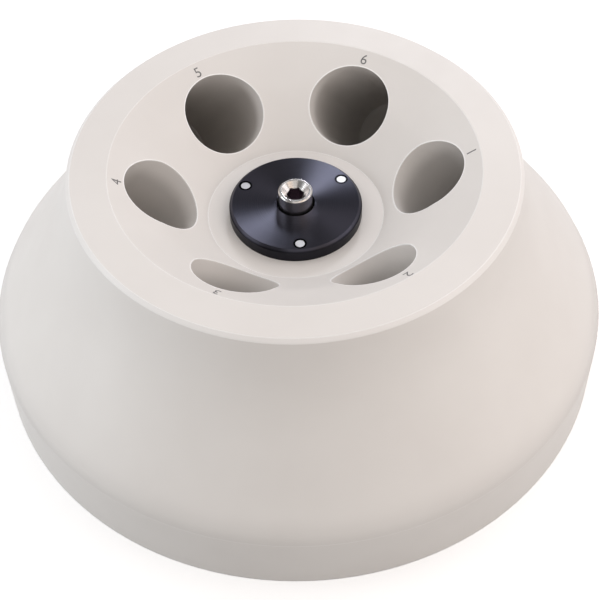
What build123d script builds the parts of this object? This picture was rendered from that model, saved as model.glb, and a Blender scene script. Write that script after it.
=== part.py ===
from build123d import *
from math import cos, radians, sin
import os

# Fixed angle rotor for six 50 ml conical tubes.
# Frame: millimetres, +Z up along the spin axis, origin at the centre of the rest ring's plane.
# Bore 1 lies on +X. Heights are measured up from the rest ring.

# Moulded body
rim_height = 89.4
rim_radius = 80.0
rim_inner_radius = 65.6
rim_outer_edge = 1.3
platform_drop = 25.2
platform_radius = 31.9
funnel_break_radius = 49.5
funnel_break_drop = 10.2
lip_wall_angle = 12.0
lip_wall_reach = 26.0
skirt_angle = 35.3
skirt_reach = 36.0
shoulder_radius = 112.7
shoulder_drop = 61.6
band_height = 23.6
base_radius = 114.8

# Recess under the body, which clears the motor housing
recess_radius = 64.0
recess_depth = 26.0

# Tube bores
tube_count = 6
bore_radius = 15.25
bore_tilt = 40.0
bore_mouth_radius = 48.4
bore_mouth_drop = 13.6
bore_wall_depth = 74.0
bore_depth = 91.0
bore_end_radius = 4.0
bore_cutter_lead = 22.0

# Hub: the bush that carries the body on the motor shaft
bush_radius = 13.0
bush_fit = 0.05
flange_radius = 26.0
flange_thickness = 5.0
nose_length = 13.0
nose_edge = 0.8
shaft_seat_radius = 7.0
shaft_seat_length = 12.0
shaft_seat_lead = 0.6
shaft_relief_radius = 7.6
drive_slot_width = 4.2
drive_slot_depth = 4.0
screw_well_radius = 7.0
screw_well_depth = 18.2
screw_shoulder_thickness = 6.0

# Dark clamping disc on the platform
disc_radius = 24.0
disc_thickness = 5.1
disc_edge = 1.1
disc_hole_radius = 7.0

# Three long screws that draw the flange and the disc together
hub_screw_count = 3
hub_screw_circle_radius = 20.25
hub_screw_radius = 1.7
hub_screw_end_drop = 0.1
hub_screw_head_radius = 3.0
hub_screw_head_height = 3.5
hub_screw_socket_width = 2.5
hub_screw_socket_depth = 2.0
hub_screw_hole_play = 0.25
hub_screw_tap_play = 0.03

# Captive clamping screw
clamp_head_radius = 6.15
clamp_stand_out = 6.2
clamp_head_chamfer = 0.45
clamp_countersink_radius = 5.0
clamp_countersink_depth = 2.0
clamp_socket_width = 5.6
clamp_socket_depth = 9.0
clamp_shank_radius = 4.0
clamp_shank_fit = 0.06
clamp_tip_chamfer = 0.4
clamp_tip_to_seat = 1.0
clamp_lift = 3.5

# Thrust washer and retaining clip on the clamping screw
washer_radius = 6.7
washer_thickness = 1.0
washer_hole_play = 0.25
clip_radius = 6.0
clip_thickness = 0.7
clip_band = 1.6
clip_prong_width = 2.6
clip_mouth_angle = 70.0
clip_prong_spread = 115.0
clip_groove_radius = 3.0
clip_play = 0.06
clip_end_play = 0.1

# Heights that follow
platform_z = rim_height - platform_drop
disc_top_z = platform_z + disc_thickness
flange_top_z = recess_depth
flange_bottom_z = flange_top_z - flange_thickness
nose_z = flange_bottom_z - nose_length
shaft_seat_top_z = nose_z + shaft_seat_length
well_floor_z = platform_z - screw_well_depth
shoulder_floor_z = well_floor_z - screw_shoulder_thickness
clamp_head_bottom_z = well_floor_z + washer_thickness
clamp_top_z = disc_top_z + clamp_stand_out
clamp_tip_z = shaft_seat_top_z + clamp_tip_to_seat
clip_top_z = shoulder_floor_z - clamp_lift - clip_end_play
clip_bottom_z = clip_top_z - clip_thickness
hub_screw_head_z = flange_bottom_z - hub_screw_head_height
hub_screw_end_z = disc_top_z - hub_screw_end_drop
hub_screw_angles = [30 + 360 / hub_screw_count * i for i in range(hub_screw_count)]
tube_angles = [-360 / tube_count * i for i in range(tube_count)]


def turned(points):
    """Solid of revolution about Z from (radius, height) corners."""
    return revolve(Plane.XZ * make_face(Polyline(*points, close=True)), Axis.Z)


def rod(radius, low_z, high_z):
    """Plain round bar on Z between two heights."""
    return Pos(0, 0, low_z) * Cylinder(radius, high_z - low_z, align=(Align.CENTER, Align.CENTER, Align.MIN))


def around(shape, radius, angles):
    """Copies of a shape on a circle about Z."""
    return [Rot(0, 0, angle) * Pos(radius, 0, 0) * shape for angle in angles]


def circle_edges(solid, radius, height):
    """Circular edges about Z with the given radius and height."""
    found = solid.edges().filter_by(GeomType.CIRCLE)
    return found.filter_by(
        lambda edge: abs(edge.radius - radius) < 1e-3
        and abs(edge.arc_center.Z - height) < 1e-3
        and abs(edge.arc_center.X) < 1e-3
        and abs(edge.arc_center.Y) < 1e-3
    )


def hexagon_prism(width, low_z, high_z):
    """Hexagonal bar on Z, measured across its flats."""
    section = RegularPolygon(width / 2, 6, major_radius=False)
    return Pos(0, 0, low_z) * extrude(section, high_z - low_z)


def bore_cutter():
    """Tool for one conical-tube bore, standing on its own axis with the mouth at height 0."""
    return turned(
        [
            (0, bore_cutter_lead),
            (bore_radius, bore_cutter_lead),
            (bore_radius, -bore_wall_depth),
            (bore_end_radius, -bore_depth),
            (0, -bore_depth),
        ]
    )


def bore_place(angle):
    """Where a bore's mouth lies, with its local Z pointing up and inward out of the mouth."""
    mouth_z = rim_height - bore_mouth_drop
    return Rot(0, 0, angle) * Pos(bore_mouth_radius, 0, mouth_z) * Rot(0, -bore_tilt, 0)


def rotor_body():
    lip_z = rim_height - rim_outer_edge
    shoulder_z = rim_height - shoulder_drop
    lip_lean = radians(lip_wall_angle)
    skirt_lean = radians(skirt_angle)
    skirt = Bezier(
        (rim_radius, lip_z),
        (rim_radius + lip_wall_reach * sin(lip_lean), lip_z - lip_wall_reach * cos(lip_lean)),
        (shoulder_radius - skirt_reach * sin(skirt_lean), shoulder_z + skirt_reach * cos(skirt_lean)),
        (shoulder_radius, shoulder_z),
    )
    band_and_recess = Polyline(
        (shoulder_radius, shoulder_z),
        (base_radius, band_height),
        (base_radius, 0),
        (recess_radius, 0),
        (recess_radius, recess_depth),
        (bush_radius + bush_fit, recess_depth),
        (bush_radius + bush_fit, platform_z),
    )
    funnel_and_rim = Polyline(
        (bush_radius + bush_fit, platform_z),
        (platform_radius, platform_z),
        (funnel_break_radius, rim_height - funnel_break_drop),
        (rim_inner_radius, rim_height),
        (rim_radius - rim_outer_edge, rim_height),
        (rim_radius, lip_z),
    )
    # The seam lies on +Y, midway between two bores and clear of the screw holes.
    body = revolve(Plane.YZ * make_face([skirt, band_and_recess, funnel_and_rim]), Axis.Z)
    hole = rod(hub_screw_radius + hub_screw_hole_play, 0, rim_height)
    for screw_hole in around(hole, hub_screw_circle_radius, hub_screw_angles):
        body -= screw_hole
    cutter = bore_cutter()
    for angle in tube_angles:
        body -= bore_place(angle) * cutter
    return body


def hub_bush():
    bush = turned(
        [
            (screw_well_radius, platform_z),
            (bush_radius, platform_z),
            (bush_radius, flange_top_z),
            (flange_radius, flange_top_z),
            (flange_radius, flange_bottom_z),
            (bush_radius, flange_bottom_z),
            (bush_radius, nose_z),
            (shaft_seat_radius, nose_z),
            (shaft_seat_radius, shaft_seat_top_z),
            (shaft_relief_radius, shaft_seat_top_z),
            (shaft_relief_radius, shoulder_floor_z),
            (clamp_shank_radius + clamp_shank_fit, shoulder_floor_z),
            (clamp_shank_radius + clamp_shank_fit, well_floor_z),
            (screw_well_radius, well_floor_z),
        ]
    )
    bush = chamfer(circle_edges(bush, bush_radius, nose_z), nose_edge)
    bush = chamfer(circle_edges(bush, shaft_seat_radius, nose_z), shaft_seat_lead)
    hole = rod(hub_screw_radius + hub_screw_hole_play, flange_bottom_z, flange_top_z)
    for screw_hole in around(hole, hub_screw_circle_radius, hub_screw_angles):
        bush -= screw_hole
    slot = Pos(0, 0, nose_z) * Box(4 * bush_radius, drive_slot_width, 2 * drive_slot_depth)
    return bush - slot


def hub_disc():
    disc = rod(disc_radius, platform_z, disc_top_z) - rod(disc_hole_radius, platform_z, disc_top_z)
    disc = chamfer(circle_edges(disc, disc_radius, disc_top_z), disc_edge)
    tap = rod(hub_screw_radius + hub_screw_tap_play, platform_z, disc_top_z)
    for tapped_hole in around(tap, hub_screw_circle_radius, hub_screw_angles):
        disc -= tapped_hole
    return disc


def hub_screw():
    head = rod(hub_screw_head_radius, hub_screw_head_z, flange_bottom_z)
    shank = rod(hub_screw_radius, flange_bottom_z, hub_screw_end_z)
    socket = hexagon_prism(hub_screw_socket_width, hub_screw_head_z, hub_screw_head_z + hub_screw_socket_depth)
    return head + shank - socket


def hub_screws():
    return Compound(around(hub_screw(), hub_screw_circle_radius, hub_screw_angles))


def clamp_screw():
    groove_low_z = clip_bottom_z - clip_end_play
    groove_high_z = clip_top_z + clip_end_play
    screw = turned(
        [
            (0, clamp_tip_z),
            (clamp_shank_radius - clamp_tip_chamfer, clamp_tip_z),
            (clamp_shank_radius, clamp_tip_z + clamp_tip_chamfer),
            (clamp_shank_radius, groove_low_z),
            (clip_groove_radius, groove_low_z),
            (clip_groove_radius, groove_high_z),
            (clamp_shank_radius, groove_high_z),
            (clamp_shank_radius, clamp_head_bottom_z),
            (clamp_head_radius, clamp_head_bottom_z),
            (clamp_head_radius, clamp_top_z - clamp_head_chamfer),
            (clamp_head_radius - clamp_head_chamfer, clamp_top_z),
            (clamp_countersink_radius, clamp_top_z),
            (0, clamp_top_z - clamp_countersink_depth * clamp_countersink_radius
             / (clamp_countersink_radius - clamp_socket_width / 2)),
        ]
    )
    return screw - hexagon_prism(clamp_socket_width, clamp_top_z - clamp_socket_depth, clamp_top_z)


def thrust_washer():
    hole_radius = clamp_shank_radius + washer_hole_play
    return rod(washer_radius, well_floor_z, clamp_head_bottom_z) - rod(
        hole_radius, well_floor_z, clamp_head_bottom_z
    )


def retaining_clip():
    prongs = Sketch() + [
        Rot(0, 0, angle) * Pos(clip_radius / 2, 0) * Rectangle(clip_radius, clip_prong_width)
        for angle in (0, clip_prong_spread, -clip_prong_spread)
    ]
    outline = Circle(clip_radius)
    ring = outline - Circle(clip_radius - clip_band)
    reach = 2 * clip_radius
    half_mouth = radians(clip_mouth_angle / 2)
    mouth = make_face(
        Polyline(
            (0, 0),
            (-reach * cos(half_mouth), reach * sin(half_mouth)),
            (-reach * cos(half_mouth), -reach * sin(half_mouth)),
            close=True,
        )
    )
    form = (ring + prongs) & outline
    form = form - Circle(clip_groove_radius + clip_play) - mouth
    return Pos(0, 0, clip_bottom_z) * extrude(form, clip_thickness)


nodes = {
    "rotor_body": rotor_body,
    "hub_bush": hub_bush,
    "hub_disc": hub_disc,
    "hub_screws": hub_screws,
    "clamp_screw": clamp_screw,
    "thrust_washer": thrust_washer,
    "retaining_clip": retaining_clip,
}

os.makedirs("parts", exist_ok=True)
for name, build in nodes.items():
    export_step(build(), f"parts/{name}.step")
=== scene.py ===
import bpy
from math import atan2, cos, pi, radians, sin
from mathutils import Matrix, Vector


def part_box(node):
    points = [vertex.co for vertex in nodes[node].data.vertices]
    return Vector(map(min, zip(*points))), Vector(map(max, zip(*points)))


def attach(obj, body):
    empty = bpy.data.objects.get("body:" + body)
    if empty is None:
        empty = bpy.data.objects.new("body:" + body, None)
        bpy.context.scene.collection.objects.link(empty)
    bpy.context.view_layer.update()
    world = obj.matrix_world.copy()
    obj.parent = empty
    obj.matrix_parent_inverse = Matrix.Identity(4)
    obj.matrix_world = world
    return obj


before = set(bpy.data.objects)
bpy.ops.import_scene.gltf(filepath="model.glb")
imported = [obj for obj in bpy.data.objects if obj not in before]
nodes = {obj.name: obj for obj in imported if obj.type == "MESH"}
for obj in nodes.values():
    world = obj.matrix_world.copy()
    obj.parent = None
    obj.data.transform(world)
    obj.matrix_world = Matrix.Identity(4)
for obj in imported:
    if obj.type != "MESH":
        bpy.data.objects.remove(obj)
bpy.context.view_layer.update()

rim_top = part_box("rotor_body")[1].z
screw_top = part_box("clamp_screw")[1].z
disc_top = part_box("hub_disc")[1].z

# Lengths are in metres and angles in radians unless a comment says otherwise

# Camera, set about the centre of the rim's top plane, with its lens and sensor in millimetres
camera_distance = 0.47902
camera_azimuth = radians(-93.31)
camera_elevation = radians(44.143)
camera_tilt = radians(5.783)
camera_turn = radians(0.116)
camera_roll = radians(-1.454)
camera_lens = 81.84
sensor_width = 36

# Form of the body that its finish follows. A drop is measured down from the rim's top, and a limit is
# the widest angle that a soft round's normal may have to the face's own
rim_inner_radius = 0.0656
break_radius = 0.0495
break_drop = 0.0102
break_blend = 0.004
break_limit = radians(8)
platform_radius = 0.0319
platform_drop = 0.0252
shoulder_low_z = 0.020
shoulder_high_z = 0.034
shoulder_inner_radius = 0.105
shoulder_limit = radians(24)
skirt_lean = radians(35.3)
past_body_radius = 1.0
bore_count = 6
bore_radius = 0.01525
bore_margin = 0.0001
bore_tilt = radians(40)
bore_mouth_radius = 0.0484
bore_mouth_drop = 0.0136
bore_wall_depth = 0.074
bore_end_depth = 0.091
bore_end_radius = 0.004

# Shade in the bores: it sets in below the mouth, spares the outer wall and thins out deeper down
shade_share = 0.30
shade_full_depth = 0.008
shade_full_aside = 0.004
shade_gone_aside = 0.012
shade_thin_start = 0.024
shade_thin_end = 0.060
shade_deep_share = 0.3
shade_colour = (0.10, 0.085, 0.07)

# Painted highlight on the body's edges, where the rounded normal no longer matches the face, and round the
# rim
body_edge_radius = 0.001
edge_match_start = 0.99
edge_match_end = 0.94
edge_highlight_colour = (1.0, 0.99, 0.985)
rim_edge_radius = 0.0787
rim_edge_width = 0.0003
rim_edge_low_drop = 0.0016
rim_edge_high_drop = 0.0012
rim_highlight_share = 0.3

# Grain in cells per metre, the relief it gives, and the range that most of a noise's values lie in
mottle_grain = 28
gloss_grain = 160
skin_grain = 2600
skin_strength = 0.10
skin_depth = 0.00008
turning_strength = 0.25
turning_depth = 0.00002
ink_grain = 3000
floor_grain = 3
fine_detail = 3
plain_detail = 2
noise_low = 0.3
noise_high = 0.7
edge_samples = 8

# Turned metal's highlight lies across its turning marks, a quarter of a full turn from its tangent
quarter_turn = 0.25

# Hub details that its finish follows, and how far its painted shade reaches; a drop is measured down from the
# disc's or the screw's top
hub_screw_count = 3
hub_screw_circle = 0.02025
hub_screw_radius = 0.0017
hub_screw_start = radians(30)
hub_ring_full = 0.0005
hub_ring_gone = 0.0009
disc_side_start_drop = 0.0004
disc_side_full_drop = 0.0010
disc_side_share = 0.75
socket_radius = 0.0034
socket_drop = 0.0017
socket_shade_depth = 0.0012

# Position numbers on the funnel's upper slope, each at an azimuth in degrees and a radius
number_height = 0.0040
number_thickness = 0.00004
number_thinning = 0.00002
number_curve_steps = 6
capital_share = 0.73
number_places = {"1": (1.0, 0.0625), "2": (-58.6, 0.0632), "3": (-117.8, 0.0631),
                 "4": (-178.4, 0.0622), "5": (121.2, 0.0622), "6": (60.8, 0.0623)}

# Floor: its glow where it is seen, and its grey for the light that it throws on the object
floor_half_width = 4.0
floor_glow = 0.345
floor_dim = 0.29


# ---------------------------------------------------------------- node helpers

def new_material(name):
    """An empty node material."""
    material = bpy.data.materials.new(name)
    material.use_nodes = True
    material.node_tree.nodes.clear()
    return material


def add(owner, kind, **settings):
    """A node in a material or world, with its properties and unlinked sockets set by name."""
    node = owner.node_tree.nodes.new(kind)
    for key, value in settings.items():
        label = key.replace("_", " ")
        match = [s for s in node.inputs if s.name.lower() == label.lower()]
        if match:
            match[0].default_value = value
        else:
            setattr(node, key, value)
    return node


def link(owner, source, target):
    """Joins an output socket to an input socket in a material or world."""
    owner.node_tree.links.new(source, target)


def math_node(material, operation, first, second=None, third=None):
    """A math node's result, from sockets or numbers."""
    node = add(material, "ShaderNodeMath", operation=operation)
    for socket, value in zip(node.inputs, (first, second, third)):
        if value is None:
            continue
        if isinstance(value, (int, float)):
            socket.default_value = value
        else:
            link(material, value, socket)
    return node.outputs[0]


def product(material, first, *others):
    """The product of two or more sockets or numbers."""
    result = first
    for other in others:
        result = math_node(material, "MULTIPLY", result, other)
    return result


def hypotenuse(material, first, second):
    """The long side of a right-angled triangle with two given sides."""
    squares = math_node(material, "ADD", product(material, first, first), product(material, second, second))
    return math_node(material, "SQRT", squares)


def vector_node(material, operation, first, second=None):
    """A vector math node with a socket first and a socket, a plain vector or nothing second."""
    node = add(material, "ShaderNodeVectorMath", operation=operation)
    link(material, first, node.inputs[0])
    if isinstance(second, tuple):
        node.inputs[1].default_value = second
    elif second is not None:
        link(material, second, node.inputs[1])
    return node


def place(material):
    """The surface point in the part's own frame."""
    return add(material, "ShaderNodeTexCoord").outputs["Object"]


def place_part(material, axis):
    """One coordinate of the surface point."""
    parts = add(material, "ShaderNodeSeparateXYZ")
    link(material, place(material), parts.inputs[0])
    return parts.outputs[axis]


def height(material):
    """Height above the rest plane."""
    return place_part(material, "Z")


def level_place(material):
    """The surface point as a level vector from the spin axis."""
    return vector_node(material, "MULTIPLY", place(material), (1, 1, 0)).outputs["Vector"]


def axis_distance(material):
    """Distance from the spin axis."""
    return vector_node(material, "LENGTH", level_place(material)).outputs["Value"]


def along_and_across(material, count, start=0.0):
    """Level distances along and across the line from the spin axis to the nearest of count places."""
    azimuth = math_node(material, "ARCTAN2", place_part(material, "Y"), place_part(material, "X"))
    turned = math_node(material, "SUBTRACT", azimuth, start)
    angle = math_node(material, "WRAP", turned, pi / count, -pi / count)
    distance = axis_distance(material)
    along = product(material, distance, math_node(material, "COSINE", angle))
    across = product(material, distance, math_node(material, "SINE", angle))
    return along, across


def step_between(material, value, start, end, low=0.0, high=1.0):
    """Smooth step from low to high as a value goes from start to end."""
    node = add(material, "ShaderNodeMapRange", interpolation_type="SMOOTHSTEP")
    link(material, value, node.inputs["Value"])
    for label, number in (("From Min", start), ("From Max", end), ("To Min", low), ("To Max", high)):
        node.inputs[label].default_value = number
    return node.outputs["Result"]


def noise(material, scale, detail):
    """Smooth noise over the surface, 0 to 1, with its grain in cells per metre."""
    node = add(material, "ShaderNodeTexNoise", scale=scale, detail=detail)
    link(material, place(material), node.inputs["Vector"])
    return node.outputs["Fac"]


def line_noise(material, distance, scale):
    """Noise that changes only with one distance, such as turning marks."""
    node = add(material, "ShaderNodeTexNoise", noise_dimensions="1D", scale=scale, detail=fine_detail)
    link(material, distance, node.inputs["W"])
    return node.outputs["Fac"]


def ramp(material, factor, low, high, start=noise_low, end=noise_high):
    """Colour that runs from low to high as the factor goes from start to end."""
    node = add(material, "ShaderNodeValToRGB")
    node.color_ramp.elements[0].position = start
    node.color_ramp.elements[0].color = (*low, 1)
    node.color_ramp.elements[1].position = end
    node.color_ramp.elements[1].color = (*high, 1)
    link(material, factor, node.inputs["Fac"])
    return node.outputs["Color"]


def spread(material, factor, low, high):
    """A factor of 0 to 1 mapped to a range of values."""
    node = add(material, "ShaderNodeMapRange")
    node.inputs["To Min"].default_value = low
    node.inputs["To Max"].default_value = high
    link(material, factor, node.inputs["Value"])
    return node.outputs["Result"]


def tint(material, colour, factor, target):
    """A colour that goes towards a target colour as the factor goes from 0 to 1."""
    # A mix node's inputs 6 and 7 and its output 2 are the ones for colours
    mix = add(material, "ShaderNodeMix", data_type="RGBA")
    link(material, factor, mix.inputs[0])
    link(material, colour, mix.inputs[6])
    mix.inputs[7].default_value = (*target, 1)
    return mix.outputs[2]


def rounded_edges(material, radius):
    """Surface normal over edges that look rounded by a radius."""
    return add(material, "ShaderNodeBevel", samples=edge_samples, radius=radius).outputs[0]


def relief(material, grain, strength, depth, normal):
    """Surface normal with a bump on it."""
    bump = add(material, "ShaderNodeBump", strength=strength, distance=depth)
    link(material, grain, bump.inputs["Height"])
    link(material, normal, bump.inputs["Normal"])
    return bump.outputs[0]


def finish_material(material, shader):
    """The material with a shader as its surface."""
    output = add(material, "ShaderNodeOutputMaterial")
    link(material, shader.outputs[0], output.inputs["Surface"])
    return material


# ---------------------------------------------------------------- body

def turned_normal(material, lean):
    """Normal of a turned surface, with its angle above the horizontal as a socket."""
    outward = vector_node(material, "NORMALIZE", level_place(material))
    level = vector_node(material, "SCALE", outward.outputs["Vector"])
    link(material, math_node(material, "COSINE", lean), level.inputs["Scale"])
    upright = add(material, "ShaderNodeCombineXYZ")
    link(material, math_node(material, "SINE", lean), upright.inputs["Z"])
    return vector_node(material, "ADD", level.outputs["Vector"], upright.outputs["Vector"]).outputs["Vector"]


def own_match(material, normal):
    """Cosine of the angle between a normal and the surface's own."""
    own = add(material, "ShaderNodeNewGeometry").outputs["True Normal"]
    return vector_node(material, "DOT_PRODUCT", own, normal).outputs["Value"]


def swap_normal(material, base, other, limit, heights, radii):
    """The other normal in a ring between two heights and two radii, where it is near the surface's own."""
    close = math_node(material, "GREATER_THAN", own_match(material, other), cos(limit))
    for value, (low, high) in ((height(material), heights), (axis_distance(material), radii)):
        close = product(material, close, math_node(material, "GREATER_THAN", value, low))
        close = product(material, close, math_node(material, "LESS_THAN", value, high))
    # A mix node's inputs 4 and 5 and its output 1 are the ones for vectors
    mix = add(material, "ShaderNodeMix", data_type="VECTOR")
    link(material, close, mix.inputs[0])
    link(material, base, mix.inputs[4])
    link(material, other, mix.inputs[5])
    return mix.outputs[1]


def bore_place(material):
    """Depth in the nearest bore, offset towards its outer wall, and 1 inside that bore or 0 outside."""
    along, across = along_and_across(material, bore_count)
    reach = math_node(material, "SUBTRACT", along, bore_mouth_radius)
    rise = math_node(material, "SUBTRACT", height(material), rim_top - bore_mouth_drop)
    depth = math_node(material, "SUBTRACT", product(material, reach, sin(bore_tilt)),
                      product(material, rise, cos(bore_tilt)))
    aside = math_node(material, "ADD", product(material, reach, cos(bore_tilt)),
                      product(material, rise, sin(bore_tilt)))
    past_wall = math_node(material, "MAXIMUM", math_node(material, "SUBTRACT", depth, bore_wall_depth), 0.0)
    taper = (bore_radius - bore_end_radius) / (bore_end_depth - bore_wall_depth)
    widened = math_node(material, "ADD", hypotenuse(material, aside, across),
                        product(material, past_wall, taper))
    inside = math_node(material, "LESS_THAN", widened, bore_radius + bore_margin)
    return depth, aside, inside


def bore_shade(material):
    """How far the plastic darkens in the bores, 0 outside them."""
    depth, aside, inside = bore_place(material)
    onset = step_between(material, depth, 0.0, shade_full_depth, 0.0, shade_share)
    beside = step_between(material, aside, shade_gone_aside, shade_full_aside)
    thinning = step_between(material, depth, shade_thin_end, shade_thin_start, shade_deep_share, 1.0)
    return product(material, inside, onset, beside, thinning)


def painted_edge_highlight(material, normal):
    """Painted highlight: how far the plastic lightens at its rounded edges and round the rim's outer edge."""
    edge = step_between(material, own_match(material, normal), edge_match_start, edge_match_end)
    outer = step_between(material, axis_distance(material), rim_edge_radius - rim_edge_width, rim_edge_radius)
    upper = step_between(material, height(material), rim_top - rim_edge_low_drop,
                         rim_top - rim_edge_high_drop, 0.0, rim_highlight_share)
    return math_node(material, "MAXIMUM", edge, product(material, outer, upper))


def soft_rounds(material, normal):
    """The normal with the shoulder and the funnel's break as soft rounds in the moulding."""
    shoulder = step_between(material, height(material), shoulder_low_z, shoulder_high_z, 0.0, skirt_lean)
    normal = swap_normal(material, normal, turned_normal(material, shoulder), shoulder_limit,
                         (shoulder_low_z, shoulder_high_z), (shoulder_inner_radius, past_body_radius))
    low_slope = atan2(platform_drop - break_drop, break_radius - platform_radius)
    high_slope = atan2(break_drop, rim_inner_radius - break_radius)
    funnel = step_between(material, axis_distance(material), break_radius - break_blend,
                          break_radius + break_blend, pi / 2 + low_slope, pi / 2 + high_slope)
    return swap_normal(material, normal, turned_normal(material, funnel), break_limit,
                       (rim_top - platform_drop, rim_top), (platform_radius, rim_inner_radius))


def body_plastic():
    """Warm off-white moulded plastic, satin, with a fine skin and faint mottling, painted shade in the bores
    and painted highlights on its edges.
    """
    material = new_material("body_plastic")
    shader = add(material, "ShaderNodeBsdfPrincipled", ior=1.49)
    mottling = noise(material, mottle_grain, fine_detail)
    colour = ramp(material, mottling, (0.762, 0.734, 0.706), (0.797, 0.771, 0.743))
    colour = tint(material, colour, bore_shade(material), shade_colour)
    normal = rounded_edges(material, body_edge_radius)
    # Painted highlight on the rounded edges and round the rim's outer edge
    colour = tint(material, colour, painted_edge_highlight(material, normal), edge_highlight_colour)
    link(material, colour, shader.inputs["Base Color"])
    gloss = noise(material, gloss_grain, fine_detail)
    link(material, spread(material, gloss, 0.40, 0.52), shader.inputs["Roughness"])
    skin = noise(material, skin_grain, fine_detail)
    normal = relief(material, skin, skin_strength, skin_depth, soft_rounds(material, normal))
    link(material, normal, shader.inputs["Normal"])
    return finish_material(material, shader)


# ---------------------------------------------------------------- hub

def turned_metal(name, dark, light, roughness, grain, anisotropy=0.0, edge_radius=0.0001,
                 painted_shade=None, painted_shade_colour=None):
    """Metal with turning marks round the spin axis, and painted shade where a mask says so."""
    material = new_material(name)
    shader = add(material, "ShaderNodeBsdfPrincipled", metallic=1.0, anisotropic=anisotropy)
    marks = line_noise(material, axis_distance(material), grain)
    colour = ramp(material, marks, dark, light)
    if painted_shade:
        # Painted shade: the colour goes darker where the mask says so
        colour = tint(material, colour, painted_shade(material), painted_shade_colour)
    link(material, colour, shader.inputs["Base Color"])
    link(material, spread(material, marks, *roughness), shader.inputs["Roughness"])
    normal = relief(material, marks, turning_strength, turning_depth, rounded_edges(material, edge_radius))
    link(material, normal, shader.inputs["Normal"])
    if anisotropy:
        shader.inputs["Anisotropic Rotation"].default_value = quarter_turn
        tangent = add(material, "ShaderNodeTangent", direction_type="RADIAL", axis="Z")
        link(material, tangent.outputs[0], shader.inputs["Tangent"])
    return finish_material(material, shader)


def disc_shade(material):
    """Painted shade: 1 in the dark ring round each hub screw's end, less on the disc's side, 0 elsewhere."""
    along, across = along_and_across(material, hub_screw_count, hub_screw_start)
    away = hypotenuse(material, math_node(material, "SUBTRACT", along, hub_screw_circle), across)
    rings = step_between(material, away, hub_screw_radius + hub_ring_gone, hub_screw_radius + hub_ring_full)
    side = step_between(material, height(material), disc_top - disc_side_start_drop,
                        disc_top - disc_side_full_drop, 0.0, disc_side_share)
    return math_node(material, "MAXIMUM", rings, side)


def socket_shade(material):
    """Painted shade: 1 down in the clamping screw's socket, 0 elsewhere."""
    socket_start_z = screw_top - socket_drop
    deep = step_between(material, height(material), socket_start_z, socket_start_z - socket_shade_depth)
    near = math_node(material, "LESS_THAN", axis_distance(material), socket_radius)
    return product(material, deep, near)


# ---------------------------------------------------------------- ink and floor

def number_ink():
    """Thin grey printed ink with uneven cover."""
    material = new_material("number_ink")
    shader = add(material, "ShaderNodeBsdfPrincipled", roughness=0.6)
    cover = noise(material, ink_grain, plain_detail)
    colour = ramp(material, cover, (0.13, 0.13, 0.135), (0.20, 0.20, 0.20))
    link(material, colour, shader.inputs["Base Color"])
    return finish_material(material, shader)


def floor_material():
    """Matt white floor that keeps the object's shadow and throws less light on the object."""
    material = new_material("floor")
    diffuse = add(material, "ShaderNodeBsdfDiffuse")
    grain = noise(material, floor_grain, plain_detail)
    colour = ramp(material, grain, (0.80, 0.80, 0.80), (0.82, 0.82, 0.82), 0.0, 1.0)
    link(material, colour, diffuse.inputs["Color"])
    glow = add(material, "ShaderNodeEmission", strength=floor_glow)
    lit = add(material, "ShaderNodeAddShader")
    link(material, diffuse.outputs[0], lit.inputs[0])
    link(material, glow.outputs[0], lit.inputs[1])
    dim = add(material, "ShaderNodeBsdfDiffuse", color=(floor_dim, floor_dim, floor_dim, 1))
    rays = add(material, "ShaderNodeLightPath").outputs
    seen = math_node(material, "MAXIMUM", rays["Is Camera Ray"], rays["Is Glossy Ray"])
    seen = math_node(material, "MAXIMUM", seen, rays["Is Transmission Ray"])
    mix = add(material, "ShaderNodeMixShader")
    link(material, seen, mix.inputs[0])
    link(material, dim.outputs[0], mix.inputs[1])
    link(material, lit.outputs[0], mix.inputs[2])
    return finish_material(material, mix)


# ---------------------------------------------------------------- dressing the CAD nodes

def dress(node, material):
    """Gives a CAD node its material."""
    for slot in nodes[node].material_slots:
        slot.material = material


dress("rotor_body", body_plastic())
# The hub disc's dark rings round the screw ends and its darker side are painted shade
dress("hub_disc", turned_metal("dark_anodised", (0.076, 0.076, 0.102), (0.112, 0.112, 0.142),
                               roughness=(0.31, 0.35), grain=5000, anisotropy=0.95, edge_radius=0.0002,
                               painted_shade=disc_shade, painted_shade_colour=(0.004, 0.004, 0.005)))
dress("hub_bush", turned_metal("bare_aluminium", (0.60, 0.61, 0.62), (0.74, 0.75, 0.76),
                               roughness=(0.24, 0.36), grain=3500, anisotropy=0.5, edge_radius=0.0002))
# The clamping screw's darker socket is painted shade
dress("clamp_screw", turned_metal("stainless", (0.86, 0.83, 0.81), (0.97, 0.95, 0.93),
                                  roughness=(0.21, 0.28), grain=4000, edge_radius=0.00025,
                                  painted_shade=socket_shade, painted_shade_colour=(0.40, 0.34, 0.38)))
dress("hub_screws", turned_metal("bright_stainless", (0.88, 0.87, 0.87), (0.97, 0.96, 0.96),
                                 roughness=(0.30, 0.42), grain=4000, edge_radius=0.00015))
dress("thrust_washer", turned_metal("bronze", (0.46, 0.30, 0.14), (0.58, 0.40, 0.20),
                                    roughness=(0.28, 0.38), grain=4000))
dress("retaining_clip", turned_metal("spring_steel", (0.10, 0.10, 0.11), (0.16, 0.16, 0.17),
                                     roughness=(0.34, 0.44), grain=4000))


# ---------------------------------------------------------------- position numbers

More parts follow.
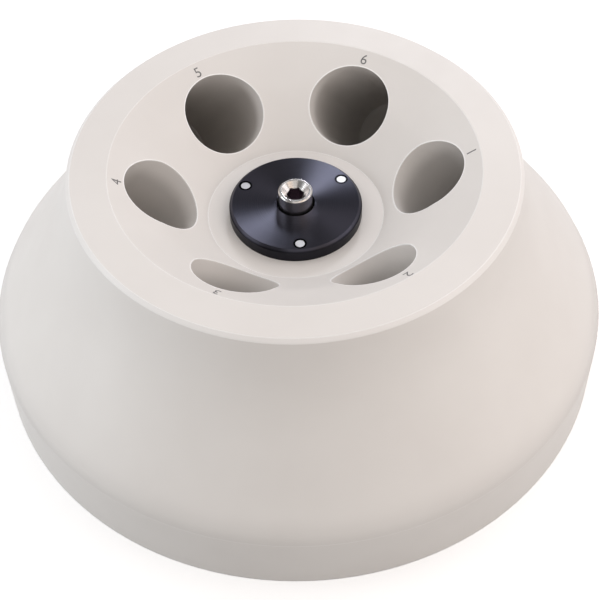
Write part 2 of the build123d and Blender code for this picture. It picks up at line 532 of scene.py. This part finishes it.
def position_number(text, azimuth, radius, ink):
    """A printed number on the funnel's upper slope, with its top towards the rim."""
    slope = Vector((rim_inner_radius - break_radius, 0, break_drop)).normalized()
    turn = Matrix.Rotation(radians(azimuth), 3, "Z")
    up = turn @ slope
    right = turn @ Vector((0, -1, 0))
    facing = right.cross(up)
    drop = (rim_inner_radius - radius) * slope.z / slope.x
    centre = turn @ Vector((radius, 0, rim_top - drop))
    curve = bpy.data.curves.new("position_number_" + text, "FONT")
    curve.body = text
    curve.size = number_height / capital_share
    curve.align_x = "CENTER"
    curve.align_y = "CENTER"
    curve.extrude = number_thickness
    curve.offset = -number_thinning
    curve.resolution_u = number_curve_steps
    piece = bpy.data.objects.new(curve.name, curve)
    bpy.context.scene.collection.objects.link(piece)
    piece.matrix_world = Matrix.Translation(centre) @ Matrix((right, up, facing)).transposed().to_4x4()
    curve.materials.append(ink)
    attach(piece, "rotor")


ink = number_ink()
for number, (azimuth, radius) in number_places.items():
    position_number(number, azimuth, radius, ink)


# ---------------------------------------------------------------- stage, light and camera

rim_centre = Vector((0, 0, rim_top))


def direction(azimuth, elevation):
    """Unit vector at an azimuth and an elevation."""
    return Vector((cos(elevation) * cos(azimuth), cos(elevation) * sin(azimuth), sin(elevation)))


def floor():
    """A wide level floor under the object, only for the pictures."""
    mesh = bpy.data.meshes.new("floor")
    corners = [(-floor_half_width, -floor_half_width, 0), (floor_half_width, -floor_half_width, 0),
               (floor_half_width, floor_half_width, 0), (-floor_half_width, floor_half_width, 0)]
    mesh.from_pydata(corners, [], [(0, 1, 2, 3)])
    mesh.materials.append(floor_material())
    piece = bpy.data.objects.new("floor", mesh)
    bpy.context.scene.collection.objects.link(piece)


def softbox(name, azimuth, elevation, distance, size, power, colour):
    """A square lamp that faces the centre of the rim's top, with its angles in degrees."""
    lamp = bpy.data.lights.new(name, "AREA")
    lamp.shape = "SQUARE"
    lamp.size = size
    lamp.energy = power
    lamp.color = colour
    piece = bpy.data.objects.new(name, lamp)
    towards = direction(radians(azimuth), radians(elevation))
    piece.location = towards * distance + rim_centre
    piece.rotation_mode = "QUATERNION"
    piece.rotation_quaternion = towards.to_track_quat("Z", "Y")
    bpy.context.scene.collection.objects.link(piece)


def room(strength, glossy_strength, camera_strength, colour):
    """Even pale surroundings, with strengths of their own in reflections and in the camera's view."""
    world = bpy.data.worlds.new("room")
    world.use_nodes = True
    rays = add(world, "ShaderNodeLightPath").outputs
    shown = world.node_tree.nodes["Background"]
    shown.inputs["Color"].default_value = (*colour, 1)
    shown.inputs["Strength"].default_value = strength
    for ray, level in (("Is Glossy Ray", glossy_strength), ("Is Camera Ray", camera_strength)):
        background = add(world, "ShaderNodeBackground", color=(*colour, 1), strength=level)
        mix = add(world, "ShaderNodeMixShader")
        link(world, rays[ray], mix.inputs[0])
        link(world, shown.outputs[0], mix.inputs[1])
        link(world, background.outputs[0], mix.inputs[2])
        shown = mix
    link(world, shown.outputs[0], world.node_tree.nodes["World Output"].inputs["Surface"])
    bpy.context.scene.world = world


def camera():
    """The camera, placed, tilted, turned and rolled to match the photo."""
    heading = camera_azimuth + pi - camera_turn
    forward = direction(heading, -(camera_elevation + camera_tilt))
    level = Vector((sin(heading), -cos(heading), 0))
    above = level.cross(forward)
    right = cos(camera_roll) * level + sin(camera_roll) * above
    up = cos(camera_roll) * above - sin(camera_roll) * level
    data = bpy.data.cameras.new("camera")
    data.sensor_width = sensor_width
    data.lens = camera_lens
    piece = bpy.data.objects.new("camera", data)
    bpy.context.scene.collection.objects.link(piece)
    spot = rim_centre + camera_distance * direction(camera_azimuth, camera_elevation)
    turn = Matrix((right, up, -forward)).transposed().to_4x4()
    piece.matrix_world = Matrix.Translation(spot) @ turn
    bpy.context.scene.camera = piece


floor()
room(strength=0.60, glossy_strength=0.15, camera_strength=0.88, colour=(1.0, 0.97, 0.955))
softbox("left_low_softbox", azimuth=190, elevation=12, distance=0.45,
        size=0.25, power=0.49, colour=(0.88, 0.95, 1.0))
softbox("left_back_softbox", azimuth=160, elevation=40, distance=0.6,
        size=0.4, power=0.42, colour=(1.0, 0.97, 0.99))
softbox("right_softbox", azimuth=17, elevation=40, distance=0.6,
        size=0.5, power=0.90, colour=(1.0, 0.93, 0.93))
softbox("right_low_softbox", azimuth=-32, elevation=12, distance=0.45,
        size=0.25, power=0.26, colour=(1.0, 0.94, 0.92))
softbox("back_softbox", azimuth=77, elevation=31, distance=0.8,
        size=0.13, power=1.12, colour=(0.90, 0.93, 1.0))
softbox("front_right_softbox", azimuth=-45, elevation=32, distance=0.6,
        size=0.4, power=0.38, colour=(1.0, 0.82, 0.68))
softbox("front_softbox", azimuth=-90, elevation=40, distance=0.6,
        size=0.4, power=0.26, colour=(1.0, 0.94, 0.90))
camera()
bpy.context.scene.view_settings.view_transform = "Standard"
